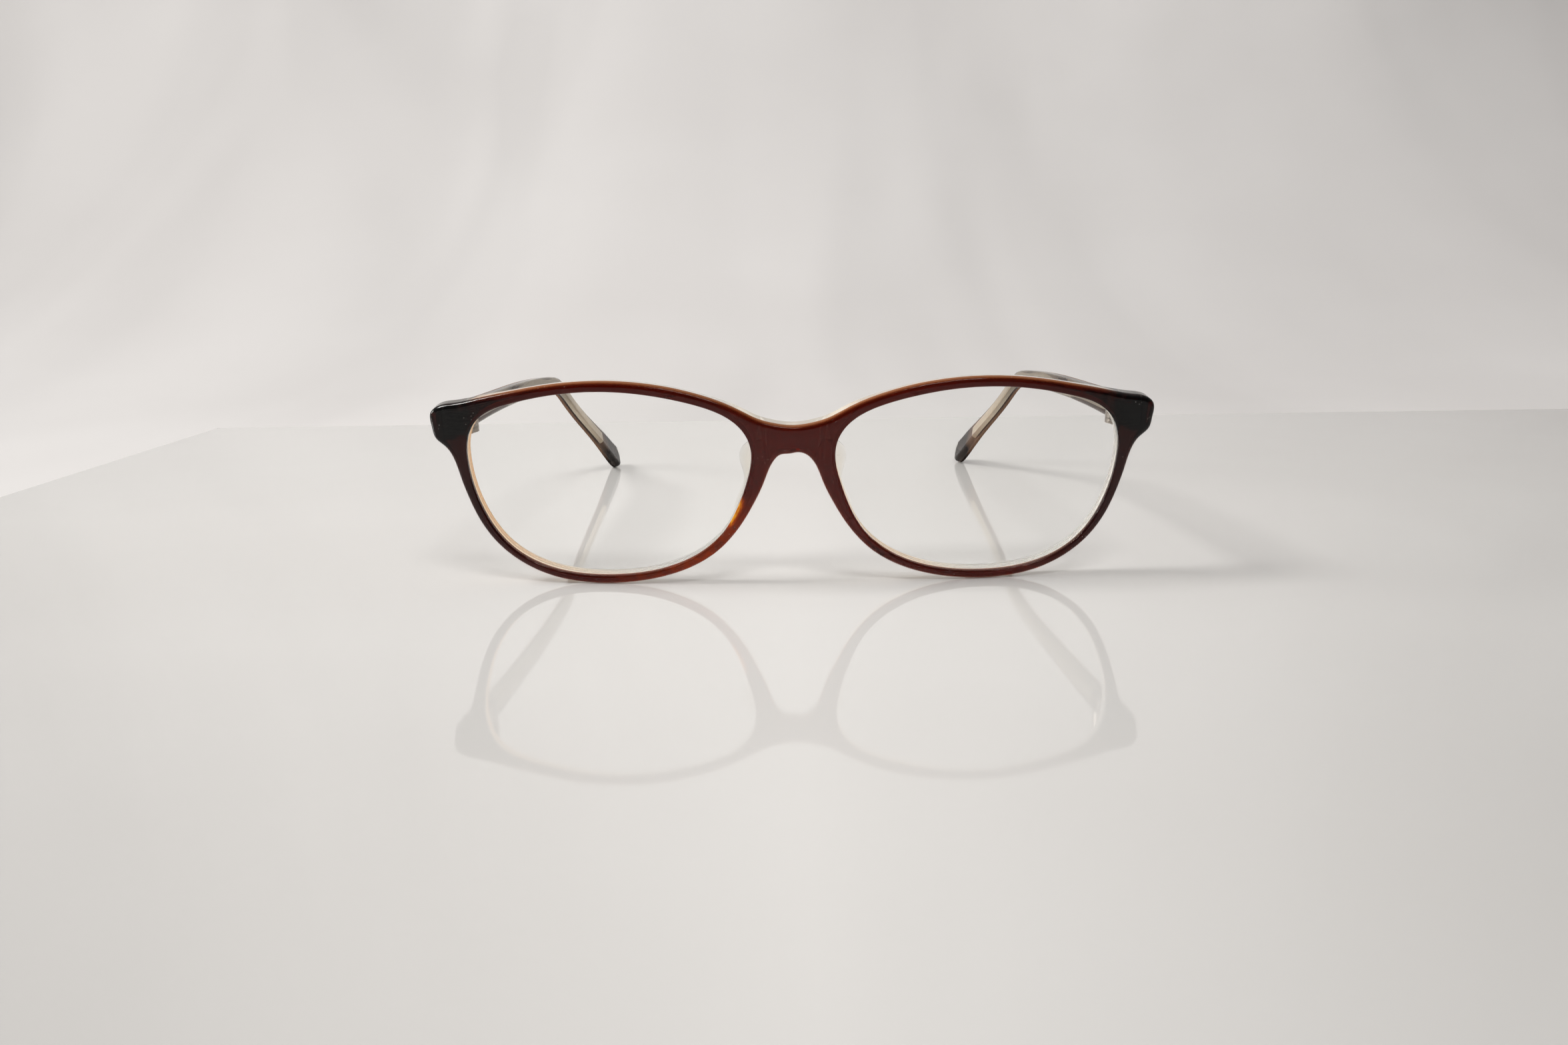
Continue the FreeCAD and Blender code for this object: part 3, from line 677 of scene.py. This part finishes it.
floor = make_floor()
backdrop = make_backdrop()
floor.data.materials.append(floor_material())
backdrop.data.materials.append(cloth_material())


# ------------------------------------------------------------------ light
def area(name, place, target, size, power, colour):
    lamp = bpy.data.lights.new(name, "AREA")
    lamp.shape = "RECTANGLE"
    lamp.size, lamp.size_y = size
    lamp.energy = power
    lamp.color = colour
    holder = bpy.data.objects.new(name, lamp)
    holder.location = place
    aim = Vector(target) - Vector(place)
    holder.rotation_euler = aim.to_track_quat("-Z", "Y").to_euler()
    bpy.context.scene.collection.objects.link(holder)


def room_light():
    """World: a dim mottled room, lit overhead, at the far side and at the left."""
    lit_strength = 0.63
    world = bpy.data.worlds.new("studio")
    bpy.context.scene.world = world
    world.use_nodes = True
    s = Shader(world.node_tree)
    view = s.coords("Generated")
    x, y, z = s.split(view)
    high = s.remap(z, over=(0.50, 0.95), to=(0.0, 0.70))
    behind = s.remap(y, over=(-0.15, 0.35), to=(0.0, 1.0))
    left = s.remap(x, over=(-0.45, -0.95), to=(0.0, 0.55))
    lit = s.calc("MAXIMUM", high, behind, left)
    room = s.remap(s.noise(view, scale=2.2, detail=2.0), over=(0.35, 0.65), to=(0.04, 0.14))
    strength = s.out("Mix", {0: lit, 2: room, 3: lit_strength}, data_type="FLOAT")
    background = world.node_tree.nodes["Background"]
    world.node_tree.links.new(strength, background.inputs["Strength"])
    background.inputs["Color"].default_value = (1.0, 0.985, 0.965, 1)


area("key_softbox_upper_left", place=(-0.95, -0.10, 1.05), target=(-0.05, 0.05, 0),
     size=(0.40, 0.40), power=10.4, colour=(1.0, 0.985, 0.965))
area("window_low_left", place=(-1.45, -0.10, 0.46), target=(0, 0.0, 0),
     size=(0.5, 0.30), power=7.2, colour=(1.0, 0.985, 0.965))
area("backdrop_fill", place=(0.15, -0.75, 1.05), target=(0.05, 0.75, 0.25),
     size=(0.5, 0.3), power=5.9, colour=(1.0, 0.985, 0.975))
room_light()

# ------------------------------------------------------------------ camera
CAMERA_PLACE = Vector((-2.73, -291.49, 61.92)) * MM
YAW, PITCH, ROLL = 0.0039, 0.2181900, -0.0137087622  # radians; pitch is downwards
SENSOR_WIDTH = 36.0  # mm
FOCAL_LENGTH = 28.1632653  # mm


def make_camera():
    forward = Vector((math.sin(YAW) * math.cos(PITCH), math.cos(YAW) * math.cos(PITCH),
                      -math.sin(PITCH)))
    level = Vector((math.cos(YAW), -math.sin(YAW), 0))
    upright = level.cross(forward)
    right = level * math.cos(ROLL) + upright * math.sin(ROLL)
    up = -level * math.sin(ROLL) + upright * math.cos(ROLL)
    optics = bpy.data.cameras.new("camera")
    optics.sensor_width = SENSOR_WIDTH
    optics.lens = FOCAL_LENGTH
    optics.clip_start = 0.005
    camera = bpy.data.objects.new("camera", optics)
    turn = Matrix((right, up, -forward)).transposed()
    camera.matrix_world = Matrix.Translation(CAMERA_PLACE) @ turn.to_4x4()
    bpy.context.scene.collection.objects.link(camera)
    bpy.context.scene.camera = camera


make_camera()

scene = bpy.context.scene
scene.view_settings.view_transform = "Standard"
scene.cycles.max_bounces = 24
scene.cycles.transmission_bounces = 20
scene.cycles.transparent_max_bounces = 24
scene.cycles.glossy_bounces = 8
scene.cycles.diffuse_bounces = 4
